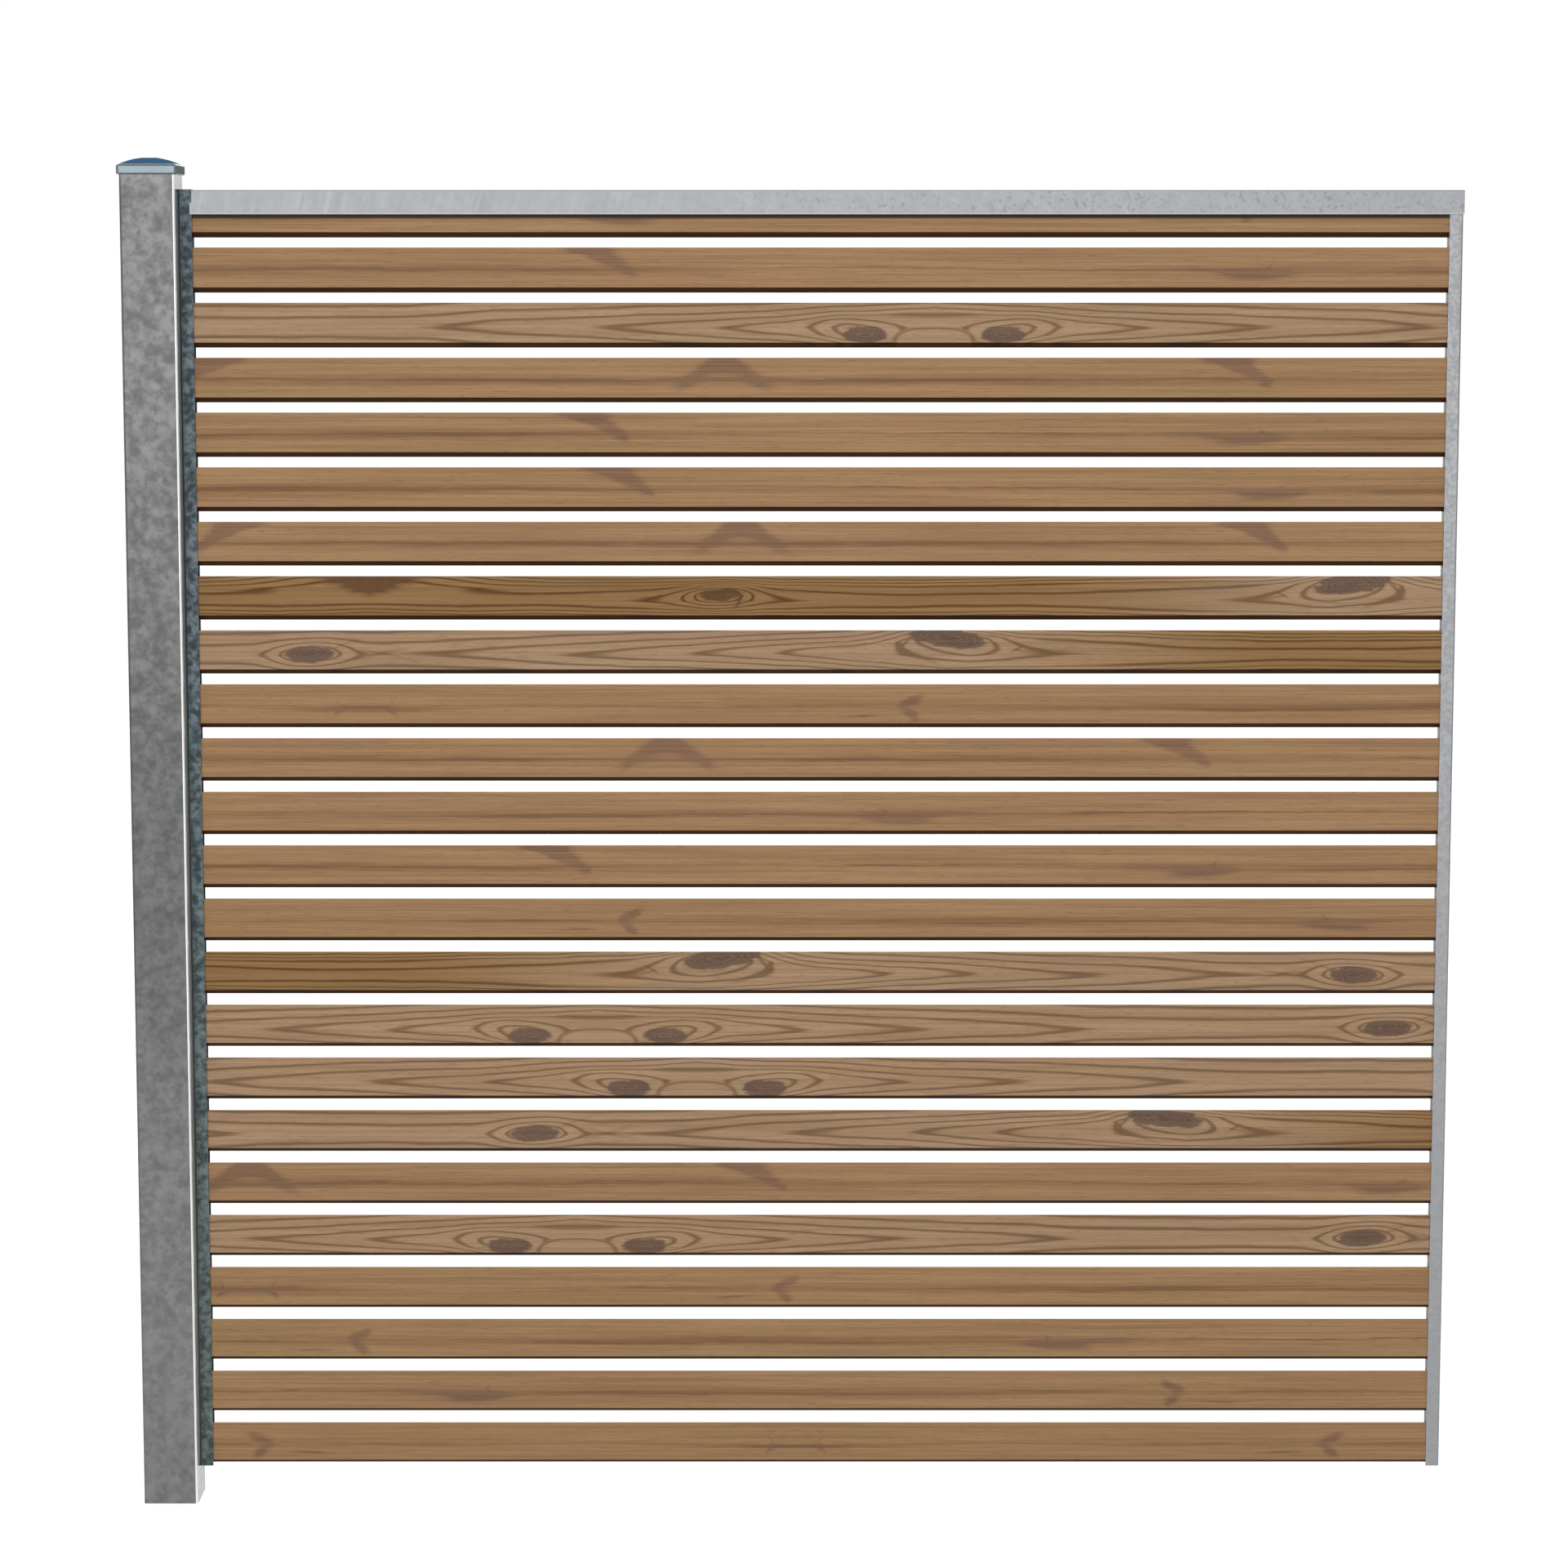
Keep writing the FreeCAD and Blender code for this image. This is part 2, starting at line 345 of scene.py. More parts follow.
def finishBoard(group, result, look, fibre, colour, relief):
    # Fibres lighten and darken the board, and pores stand in it as short dark marks
    contrast = look["contrast"]
    shade = remap(group, fibre["Fine"], 0.0, 1.0, 1.0 + contrast, 1.0 - contrast)
    pores = times(group, fibre["Pores"], look["pores"])
    colour = mixColour(group, pores, toned(group, colour, shade), boardColours["plainBand"])
    plug(group, result["Colour"], colour)
    plug(group, result["Relief"], relief)


plainBoard = {
    # How marks stray from straight: waves per metre on each axis, and reach
    "sway": ((4.0, 9.0, 12.0), 0.009),
    "fray": ((26.0, 90.0, 240.0), 0.006),
    "frayAlong": 3.0,
    "frayUp": 0.7,
    # How the fibres streak the bands and smears: from, to, faintest, fullest
    "bandStreaks": (-0.3, 1.0, 0.75, 1.1),
    "smearStreaks": (-0.2, 1.2, 0.75, 1.0),
    "smearEdge": (0.10, 0.80),
    "goldenStart": 2.35,
    "goldenFull": 2.85,
    "contrast": 0.15,
    "pores": 0.42,
    # The middle of each long brown band: U, V, half length, half height, tilt, strength
    "bands": [
        (0.30, 0.0248, 0.54, 0.0060, 0.0, 0.78), (2.07, 0.0238, 0.60, 0.0060, 0.0, 0.78),
        (3.342, 0.0225, 0.14, 0.0040, 0.0, 0.95), (0.36, 0.0252, 0.46, 0.0018, 0.0, 0.50),
        (1.22, 0.0262, 0.30, 0.0013, -0.25, 0.85), (2.90, 0.0235, 0.28, 0.0016, 0.0, 0.50),
        (2.66, 0.0110, 0.026, 0.0014, -1.5, 0.95), (2.75, 0.0250, 0.08, 0.0020, 0.0, 0.45),
        (1.95, 0.0215, 0.40, 0.0017, 0.0, 0.40), (0.50, 0.0480, 0.30, 0.0013, 0.3, 0.30),
        (1.75, 0.0420, 0.35, 0.0013, -0.3, 0.25), (3.10, 0.0400, 0.30, 0.0012, 0.2, 0.25),
    ],
    # Purple brown smears: the arch at nought, the slanting one, the patch, the hook, the feathers
    "smears": [
        (0.000, 0.0500, 0.020, 0.0100, 0.0, 0.90), (0.000, 0.0410, 0.026, 0.0080, 0.0, 0.80),
        (0.034, 0.0325, 0.040, 0.0104, -31.0, 0.88), (0.000, 0.0238, 0.042, 0.0036, 0.0, 0.50),
        (0.692, 0.0525, 0.042, 0.0050, 0.0, 0.75), (0.700, 0.0460, 0.034, 0.0084, -14.0, 0.85),
        (0.716, 0.0385, 0.030, 0.0088, -31.0, 0.80), (0.745, 0.0230, 0.012, 0.0066, -35.0, 0.75),
        (1.605, 0.0175, 0.048, 0.0080, 3.0, 0.90), (1.560, 0.0235, 0.090, 0.0044, -2.0, 0.70),
        (1.620, 0.0270, 0.012, 0.0030, 60.0, 0.45), (2.590, 0.0315, 0.021, 0.0066, -24.0, 0.95),
        (2.589, 0.0125, 0.013, 0.0072, 30.0, 0.90), (3.337, 0.0205, 0.055, 0.0038, 0.0, 0.65),
        (3.310, 0.0160, 0.012, 0.0030, 35.0, 0.60), (3.312, 0.0285, 0.012, 0.0026, -50.0, 0.50),
        (3.277, 0.0165, 0.010, 0.0022, 30.0, 0.35),
    ],
}


def makePlainBoard():
    group, given, result = newGroup("plainBoard", boardInputs, boardOutputs)
    place = given["Place"]
    fibre = useGroup(group, fibreGroup, Place=place)
    u, depth, v = splitXyz(group, place)
    sway = wander(group, place, *plainBoard["sway"])
    fray = wander(group, place, *plainBoard["fray"])
    swayed = joinXyz(group, u, depth, total(group, [v, sway, fray]))
    frayedU = timesPlus(group, fray, plainBoard["frayAlong"], u)
    frayedV = timesPlus(group, fray, plainBoard["frayUp"], v)
    frayed = joinXyz(group, frayedU, depth, frayedV)
    streaks = remap(group, fibre["Fine"], *plainBoard["bandStreaks"])
    band = times(group, strokes(group, swayed, plainBoard["bands"]), streaks, clamp=True)
    smear = remap(group, strokes(group, frayed, plainBoard["smears"]), *plainBoard["smearEdge"])
    streaks = remap(group, fibre["Fine"], *plainBoard["smearStreaks"])
    smear = times(group, smear, streaks)
    golden = remap(group, u, plainBoard["goldenStart"], plainBoard["goldenFull"])
    colour = mixColour(group, golden, boardColours["plainLight"], boardColours["plainGolden"])
    colour = mixColour(group, fibre["Drift"], colour, boardColours["plainRed"])
    colour = mixColour(group, band, colour, boardColours["plainBand"])
    colour = mixColour(group, smear, colour, boardColours["plainSmear"])
    finishBoard(group, result, plainBoard, fibre, colour, fibre["Fine"])
    return group


knottyBoard = {
    "sway": ((6.0, 8.0, 20.0), 0.009),
    "fray": ((60.0, 90.0, 200.0), 0.008),
    "frayAlong": 2.0,
    "contrast": 0.13,
    "pores": 0.40,
    # The rings crowd away from this height, by so many over the whole face
    "heartHeight": 0.0209,
    "baseRings": 2.3,
    "crowding": 1.2,
    # Where the rings start a little later or earlier: from U, to U, by
    "shifts": [(0.57, 0.73, -0.35), (1.03, 1.25, -0.05), (1.27, 1.46, 0.30)],
    # Arrow-headed hills, some flat-topped: U, V, length before, length after, height, rings, top
    "hills": [
        (0.0, 0.0200, 0.356, 0.356, 0.0280, 7.25, 3.55), (1.99, 0.0250, 0.415, 6.0, 0.0290, 7.9, 4.45),
        (2.02, 0.0265, 0.09, 0.235, 0.0240, 1.25, 2.0), (2.87, 0.0285, 0.105, 0.105, 0.0170, 2.3, 3.0),
    ],
    "hillEase": 0.01,  # half the way over which a hill changes its length
    # Beyond the top knot the rings lie closer: from U, to U, rings over the face
    "closer": (2.1, 2.5, 4.8),
    # Round knots, which push the rings aside: U, V, half length, half height, tilt, rings
    "knotRings": [
        (0.100, 0.0120, 0.058, 0.0190, 8.0, 2.1), (1.107, 0.0225, 0.050, 0.0185, 3.0, 2.5),
        (1.990, 0.0450, 0.076, 0.0200, -4.0, 2.9), (2.863, 0.0300, 0.046, 0.0150, -4.0, 2.4),
        (3.347, 0.0560, 0.170, 0.0200, 0.0, 3.6),
    ],
    "cores": [
        (0.095, 0.0105, 0.030, 0.0108, 0.0, 1.9), (1.106, 0.0220, 0.033, 0.0112, 2.0, 1.9),
        (1.990, 0.0445, 0.052, 0.0125, -7.0, 1.9), (2.863, 0.0300, 0.028, 0.0084, -4.0, 1.7),
    ],
    # The wedge-shaped knot that the far end mirrors: U, V, length, height, strength
    "wedge": (3.347, 0.0600, 0.075, 0.0240, 2.2),
    # Short dark lines that hook around the knots
    "hooks": [
        (1.932, 0.0390, 0.012, 0.0026, 43.0, 0.95), (1.945, 0.0220, 0.028, 0.0028, -22.0, 0.80),
        (2.836, 0.0215, 0.011, 0.0022, -57.0, 0.80), (1.150, 0.0340, 0.034, 0.0018, 20.0, 0.40),
        (1.205, 0.0225, 0.032, 0.0024, 12.0, 0.60), (1.208, 0.0225, 0.032, 0.0024, -12.0, 0.60),
        (2.086, 0.0290, 0.009, 0.0017, 28.0, 0.75), (2.092, 0.0262, 0.011, 0.0015, -14.0, 0.65),
    ],
    # The flat arch between the two low knots, and its dark rim
    "archHalf": 0.055,
    "archHeight": 0.0205,
    "archPowers": (3.0, 2.4),
    "archClear": (0.95, 1.25),
    "rimRise": (0.65, 0.95),
    "rimFall": (1.0, 1.3),
    "rimStrength": 0.8,
    "ochreStart": 2.00,
    "ochreFull": 2.46,
    "firstRing": 19.95,  # the ring field at the heart, far from any mark
    "jitter": 0.06,  # how much the fibres roughen the ring lines
    # A line comes up as its ring ends, and falls as the next one starts
    "lineRise": (0.80, 0.99),
    "lineDip": (-0.1, 0.02),
    "lineFall": (0.02, 0.28),
    "lineStrength": 0.84,
    "lineGroove": 0.5,
    "driftStrength": 0.22,
    "knotStrength": 0.92,
    "knotOchre": 0.8,
    "whorl": 0.14,  # spacing of the faint rings inside a knot
    "whorlFray": 0.15,
    "coreEdge": (0.45, 0.85),
}


def ringField(group, u, height, swayed):
    # A new ring starts wherever this field passes a whole number
    offHeart = calc(group, "SUBTRACT", height, knottyBoard["heartHeight"])
    share = calc(group, "POWER", outShare(group, offHeart, timber["faceHeight"]), knottyBoard["crowding"])
    closerStart, closerFull, closerRings = knottyBoard["closer"]
    perFace = remap(group, u, closerStart, closerFull, -knottyBoard["baseRings"], -closerRings)
    field = times(group, share, perFace)
    ease = knottyBoard["hillEase"]
    for hillU, hillV, before, after, hillHeight, rings, top in knottyBoard["hills"]:
        length = remap(group, u, hillU - ease, hillU + ease, before, after)
        hill = useGroup(group, hillGroup, Place=swayed, U=hillU, V=hillV,
                        Length=length, Height=hillHeight, Rings=rings)
        field = calc(group, "ADD", field, calc(group, "MINIMUM", hill["Amount"], top))
    field = calc(group, "ADD", field, strokes(group, swayed, knottyBoard["knotRings"]))
    for shiftStart, shiftEnd, shift in knottyBoard["shifts"]:
        field = calc(group, "ADD", field, remap(group, u, shiftStart, shiftEnd, 0.0, shift))
    return calc(group, "ADD", field, knottyBoard["firstRing"])


def ringLines(group, field, fine):
    step = calc(group, "FRACT", timesPlus(group, fine, knottyBoard["jitter"], field))
    late = remap(group, step, *knottyBoard["lineFall"], 1.0, 0.0)
    late = times(group, late, remap(group, step, *knottyBoard["lineDip"]))
    return calc(group, "MAXIMUM", late, remap(group, step, *knottyBoard["lineRise"]))


def underArch(group, u, v, line):
    # No ring crosses the arch, which has a dark rim of its own
    alongPower, upPower = knottyBoard["archPowers"]
    along = calc(group, "DIVIDE", u, knottyBoard["archHalf"])
    up = calc(group, "MAXIMUM", calc(group, "DIVIDE", v, knottyBoard["archHeight"]), 0.0)
    arch = calc(group, "ADD", calc(group, "POWER", along, alongPower), calc(group, "POWER", up, upPower))
    line = times(group, line, remap(group, arch, *knottyBoard["archClear"]))
    rim = remap(group, arch, *knottyBoard["rimRise"])
    rim = times(group, rim, remap(group, arch, *knottyBoard["rimFall"], 1.0, 0.0))
    return calc(group, "MAXIMUM", line, times(group, rim, knottyBoard["rimStrength"]))


def knotAmount(group, frayed):
    # High inside the round knots and the wedge
    wedgeU, wedgeV, length, height, strength = knottyBoard["wedge"]
    wedge = useGroup(group, hillGroup, Place=frayed, U=wedgeU, V=wedgeV,
                     Length=length, Height=height, Rings=strength)
    return calc(group, "ADD", strokes(group, frayed, knottyBoard["cores"]), wedge["Amount"])


def knottyColour(group, u, fibre, line, knots):
    # Wood, ring lines and knots, which all turn ochre towards the far end
    ochreShare = remap(group, u, knottyBoard["ochreStart"], knottyBoard["ochreFull"])
    colour = mixColour(group, ochreShare, boardColours["knottyLight"], boardColours["ochre"])
    drift = times(group, fibre["Drift"], knottyBoard["driftStrength"])
    colour = mixColour(group, drift, colour, boardColours["plainRed"])
    lineColour = mixColour(group, ochreShare, boardColours["knottyLine"], boardColours["ochreLine"])
    strength = knottyBoard["lineStrength"]
    strength = timesPlus(group, ochreShare, 1.0 - strength, strength)
    colour = mixColour(group, times(group, line, strength), colour, lineColour)
    whorl = timesPlus(group, fibre["Fine"], knottyBoard["whorlFray"], knots)
    whorl = remap(group, calc(group, "PINGPONG", whorl, knottyBoard["whorl"]), 0.0, knottyBoard["whorl"])
    knotColour = mixColour(group, whorl, boardColours["knot"], boardColours["knotPale"])
    knotOchre = times(group, ochreShare, knottyBoard["knotOchre"])
    knotColour = mixColour(group, knotOchre, knotColour, boardColours["ochreLine"])
    core = remap(group, knots, *knottyBoard["coreEdge"])
    core = times(group, core, knottyBoard["knotStrength"])
    return mixColour(group, core, colour, knotColour)


def makeKnottyBoard():
    group, given, result = newGroup("knottyBoard", boardInputs, boardOutputs)
    place = given["Place"]
    fibre = useGroup(group, fibreGroup, Place=place)
    u, depth, v = splitXyz(group, place)
    sway = wander(group, place, *knottyBoard["sway"])
    height = calc(group, "ADD", v, sway)
    swayed = joinXyz(group, u, depth, height)
    line = ringLines(group, ringField(group, u, height, swayed), fibre["Fine"])
    line = underArch(group, u, v, line)
    line = calc(group, "ADD", line, strokes(group, swayed, knottyBoard["hooks"]), clamp=True)
    fray = wander(group, place, *knottyBoard["fray"])
    frayedU = timesPlus(group, fray, knottyBoard["frayAlong"], u)
    frayed = joinXyz(group, frayedU, depth, calc(group, "ADD", height, fray))
    colour = knottyColour(group, u, fibre, line, knotAmount(group, frayed))
    relief = timesPlus(group, line, -knottyBoard["lineGroove"], fibre["Fine"])
    finishBoard(group, result, knottyBoard, fibre, colour, relief)
    return group


boards = {"plain": makePlainBoard(), "knotty": makeKnottyBoard()}
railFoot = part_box("top_rail")[0].z


def makeTimber(name, board, start, direction, foot, seed):
    material, tree, shader = newMaterial(name)
    x, y, z = splitXyz(tree, coordinates(tree))
    along = times(tree, calc(tree, "SUBTRACT", x, start), float(direction))
    u = calc(tree, "PINGPONG", along, timber["boardLength"])
    height = calc(tree, "SUBTRACT", z, foot - slope * timber["halfThickness"])
    v = timesPlus(tree, y, slope, height)
    depth = calc(tree, "ADD", y, seed)
    look = useGroup(tree, boards[board], Place=joinXyz(tree, u, depth, v))
    normalX, _, normalZ = splitXyz(tree, coordinates(tree, "Normal"))
    # Painted shade: faces that turn down are darkened
    under = remap(tree, normalZ, *timber["underNormal"])
    underShaded = mixColour(tree, 1.0, look["Colour"], boardColours["paintedUnderShade"], "MULTIPLY")
    colour = mixColour(tree, under, look["Colour"], underShaded)
    # Painted shadow of the rail on the face right under it
    railShadow = fade(tree, z, railFoot, timber["railShadowEdge"])
    colour = mixColour(tree, railShadow, colour, boardColours["railShadow"])
    cutEnd = remap(tree, calc(tree, "ABSOLUTE", normalX), *timber["endNormal"])
    colour = mixColour(tree, cutEnd, colour, boardColours["endGrain"])
    tree.links.new(colour, shader.inputs["Base Color"])
    rough = remap(tree, look["Relief"], 0.0, 1.0, *timber["roughness"])
    rough = timesPlus(tree, under, timber["underRoughness"], rough)
    plug(tree, shader.inputs["Roughness"], rough)
    shader.inputs["Specular IOR Level"].default_value = timber["gloss"]
    bump(tree, shader, look["Relief"], timber["reliefDepth"], timber["reliefStrength"])
    return material


for number, (board, start, direction) in enumerate(timber["cuts"], 1):
    slatName = f"slat_{number:02d}"
    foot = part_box(slatName)[1].z - timber["faceHeight"]
    seed = number * timber["seedStep"]
    dress(slatName, makeTimber("timber" + str(number), board, start, direction, foot, seed))
print("timber:", len(timber["cuts"]), "slats")


# Galvanised steel in several tones. Each piece's own look stands over these common values

zinc = {
    "roughness": (0.36, 0.46),
    "spread": 0.23,
    "relief": 0.15,
    "reliefDepth": 0.0003,
    "metallic": 0.9,
    "largeScale": 0.45,
    "largeShare": 0.35,
}


def makeZinc(name, pieceLook):
    # Mottled zinc: soft patches of two sizes, harder-edged where their spread is small
    look = {**zinc, **pieceLook}
    material, tree, shader = newMaterial(name)
    place = coordinates(tree)
    perMetre = 1.0 / look["patch"]
    large = noise(tree, place, (perMetre * look["largeScale"],) * 3)
    small = noise(tree, place, (perMetre,) * 3, detail=3.0, roughness=0.55, swirl=0.25)
    both = blend(tree, large, small, look["largeShare"])
    patches = remap(tree, both, 0.5 - look["spread"], 0.5 + look["spread"])
    tree.links.new(mixColour(tree, patches, look["dark"], look["light"]), shader.inputs["Base Color"])
    smooth, rough = look["roughness"]
    plug(tree, shader.inputs["Roughness"], remap(tree, patches, 0.0, 1.0, rough, smooth))
    shader.inputs["Metallic"].default_value = look["metallic"]
    bump(tree, shader, both, look["reliefDepth"], look["relief"])
    return material, tree, shader, splitXyz(tree, place)


def overlay(tree, shader, factor, colour, kind="MIX"):
    # Lays a colour over what the shader already has
    socket = shader.inputs["Base Color"]
    tree.links.new(mixColour(tree, factor, socket.links[0].from_socket, colour, kind), socket)


def dullMetal(tree, shader, factor, loss):
    # Takes the metal's shine away by as much as the loss
    plug(tree, shader.inputs["Metallic"], timesPlus(tree, factor, -loss, zinc["metallic"]))


def toneByHeight(tree, shader, z, tones):
    # Brightens and darkens the shader's colour by height. The curve holds half of each tone
    node = tree.nodes.new("ShaderNodeFloatCurve")
    lowest, highest = tones[0][0], tones[-1][0]
    above = calc(tree, "SUBTRACT", z, lowest)
    plug(tree, node.inputs["Value"], calc(tree, "DIVIDE", above, highest - lowest))
    curve = node.mapping.curves[0]
    for height, tone in tones[1:-1]:
        curve.points.new((height - lowest) / (highest - lowest), tone / 2)
    curve.points[0].location = (0.0, tones[0][1] / 2)
    curve.points[-1].location = (1.0, tones[-1][1] / 2)
    node.mapping.update()
    tone = times(tree, node.outputs[0], 2.0)
    socket = shader.inputs["Base Color"]
    tree.links.new(toned(tree, socket.links[0].from_socket, tone), socket)


postLook = {
    "dark": (0.078, 0.079, 0.080, 1.0),
    "light": (0.128, 0.129, 0.130, 1.0),
    "patch": 0.0105,
    "spread": 0.21,
    "cornerHighlight": (0.80, 0.81, 0.81, 1.0),
    "grooveTop": (0.350, 0.395, 0.410, 1.0),
    "grooveFoot": (0.640, 0.660, 0.645, 1.0),
    "sideSheen": (0.240, 0.240, 0.236, 1.0),
    "sideSmoother": 0.25,
    "shineLoss": 0.85,
    # Soft edges, as offsets from the side, from the corner, and from the channel's foot and top
    "side": (-0.0006, -0.0002),
    "cornerWidth": 0.0031,
    "corner": (-0.0003, 0.0003),
    "reflectionFoot": (-0.004, 0.008),
    "reflectionTop": (0.001, -0.006),
    "sheenStart": (-0.002, 0.0),
    # Height and brightness of the tone down the post
    "tones": [(0.0, 1.44), (0.40, 1.36), (0.90, 0.86), (1.30, 0.96),
              (1.62, 1.04), (1.83, 1.04), (1.855, 1.22)],
}


def makePostSteel():
    material, tree, shader, (x, y, z) = makeZinc("postSteel", postLook)
    toneByHeight(tree, shader, z, postLook["tones"])
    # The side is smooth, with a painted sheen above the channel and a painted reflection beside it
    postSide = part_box("post")[1].x
    foot, top = [corner.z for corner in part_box("left_channel")]
    side = fade(tree, x, postSide, postLook["side"])
    rough = shader.inputs["Roughness"]
    smoother = timesPlus(tree, side, -postLook["sideSmoother"], rough.links[0].from_socket)
    tree.links.new(smoother, rough)
    # Painted sheen: above the channel the side gets a lighter zinc, so that it shines brighter
    paintedSheen = times(tree, side, fade(tree, z, top, postLook["sheenStart"]))
    overlay(tree, shader, paintedSheen, postLook["sideSheen"])
    # Painted reflection: beside the channel the side gets a flat colour with little shine, blue-grey at the
    # top and pale at the foot, in place of what it mirrors
    beside = times(tree, fade(tree, z, foot, postLook["reflectionFoot"]),
                  fade(tree, z, top, postLook["reflectionTop"]))
    reflectionMask = times(tree, side, beside)
    paintedReflection = mixColour(tree, remap(tree, z, foot, top), postLook["grooveFoot"], postLook["grooveTop"])
    overlay(tree, shader, reflectionMask, paintedReflection)
    dullMetal(tree, shader, reflectionMask, postLook["shineLoss"])
    # Painted highlight: the corners beside the channel are lightened as if they catch the light
    corner = postSide - postLook["cornerWidth"]
    besideX = fade(tree, x, corner, postLook["corner"])
    besideY = fade(tree, calc(tree, "ABSOLUTE", y), corner, postLook["corner"])
    overlay(tree, shader, times(tree, besideX, besideY), postLook["cornerHighlight"])
    return material


capLook = {
    "dark": (0.132, 0.164, 0.180, 1.0),
    "light": (0.148, 0.183, 0.201, 1.0),
    "crown": (0.058, 0.146, 0.252, 1.0),
    "side": (0.204, 0.236, 0.222, 1.0),
    "patch": 0.05,
    "roughness": (0.28, 0.34),
    "shineLoss": 0.9,
    "crownEdge": (-0.0093, -0.0085),  # from the cap's top
    "sideNormal": (0.65, 0.95),
}


def makeCapSteel():
    material, tree, shader, (_, _, z) = makeZinc("capSteel", capLook)
    # Painted reflection: the crown is blued as if it mirrored a blue sky
    crown = fade(tree, z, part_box("post_cap")[1].z, capLook["crownEdge"])
    overlay(tree, shader, crown, capLook["crown"])
    # Painted shade: the side walls get a dull grey-green that renders darker, and they and the crown lose
    # their shine
    normalX = splitXyz(tree, coordinates(tree, "Normal"))[0]
    side = remap(tree, calc(tree, "ABSOLUTE", normalX), *capLook["sideNormal"])
    overlay(tree, shader, side, capLook["side"])
    dullMetal(tree, shader, calc(tree, "MAXIMUM", crown, side), capLook["shineLoss"])
    shader.inputs["Specular IOR Level"].default_value = 0.0
    return material


leftChannelLook = {
    "dark": (0.040, 0.055, 0.063, 1.0),
    "light": (0.126, 0.160, 0.178, 1.0),
    "patch": 0.0085,
    "spread": 0.14,
    "relief": 0.08,
    "tones": [(0.04, 0.92), (0.4, 0.86), (1.0, 0.66), (1.5, 0.54), (1.84, 0.47)],
    "greenish": (1.0, 1.0, 0.86, 1.0),
    "greenishHeights": (1.4, 0.2),
    "bend": (0.175, 0.205, 0.218, 1.0),
    "bendEdge": (0.0030, 0.001),  # from the channel's outer side
    "bendStrength": 0.8,
}


def makeLeftChannelSteel():
    material, tree, shader, (x, _, z) = makeZinc("darkChannelSteel", leftChannelLook)
    toneByHeight(tree, shader, z, leftChannelLook["tones"])
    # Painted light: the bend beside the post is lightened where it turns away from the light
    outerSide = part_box("left_channel")[0].x
    bend = fade(tree, x, outerSide, leftChannelLook["bendEdge"], full=leftChannelLook["bendStrength"])
    overlay(tree, shader, bend, leftChannelLook["bend"])
    greenish = remap(tree, z, *leftChannelLook["greenishHeights"])
    overlay(tree, shader, greenish, leftChannelLook["greenish"], "MULTIPLY")
    return material


rightChannelLook = {
    "dark": (0.216, 0.222, 0.229, 1.0),
    "light": (0.252, 0.258, 0.266, 1.0),
    "patch": 0.0056,
    "spread": 0.16,
    "relief": 0.06,
    "tones": [(0.04, 1.08), (0.9, 0.95), (1.84, 0.82)],
    "inside": (0.62, 0.63, 0.64, 1.0),
    "insideDepth": (0.0, 0.004),
    "insideNormal": (-0.5, -0.9),
    "shineLoss": 0.8,
}


def makeRightChannelSteel():
    material, tree, shader, (_, y, z) = makeZinc("paleChannelSteel", rightChannelLook)
    toneByHeight(tree, shader, z, rightChannelLook["tones"])
    # Painted light: the inside of the rear flange, seen in the gaps, is lightened against the shade it lies
    # in, and loses its shine
    normalY = splitXyz(tree, coordinates(tree, "Normal"))[1]
    rear = remap(tree, y, *rightChannelLook["insideDepth"])
    facing = remap(tree, normalY, *rightChannelLook["insideNormal"])
    inside = times(tree, facing, rear)
    overlay(tree, shader, inside, rightChannelLook["inside"])
    dullMetal(tree, shader, inside, rightChannelLook["shineLoss"])
    return material


railLook = {
    "dark": (0.181, 0.186, 0.195, 1.0),
    "light": (0.192, 0.198, 0.207, 1.0),
    "patch": 0.014,
    "roughness": (0.39, 0.42),
    "relief": 0.05,
    "mark": (0.236, 0.241, 0.249, 1.0),
    "shadow": (0.158, 0.163, 0.172, 1.0),
    "markScale": (140.0, 4.0, 9.0),
    "markSlant": -0.26,
    "markRange": (0.50, 0.76),
    "shadowRange": (0.46, 0.26),
    "markStrength": (0.62, 0.22),  # at the left and where the pits start
    "marksFrom": 0.25,
    "pit": (0.138, 0.143, 0.151, 1.0),
    "pitsFrom": 0.95,
    "pitsSpread": (-0.3, 0.1),  # around where they start
    "fewPits": 0.12,
    "pitScale": (165.0, 60.0, 180.0),
    "pitRange": (0.50, 0.74),
    "clusterScale": (7.0, 4.0, 20.0),
    "clusterRange": (0.34, 0.56),
    "footHighlight": (0.222, 0.225, 0.227, 1.0),
    "footHighlightEdge": (0.0022, 0.0014),  # from the rail's foot
    "topHighlight": (0.310, 0.317, 0.328, 1.0),
    "topHighlightEdge": (-0.0026, -0.0008),  # from the rail's top
}


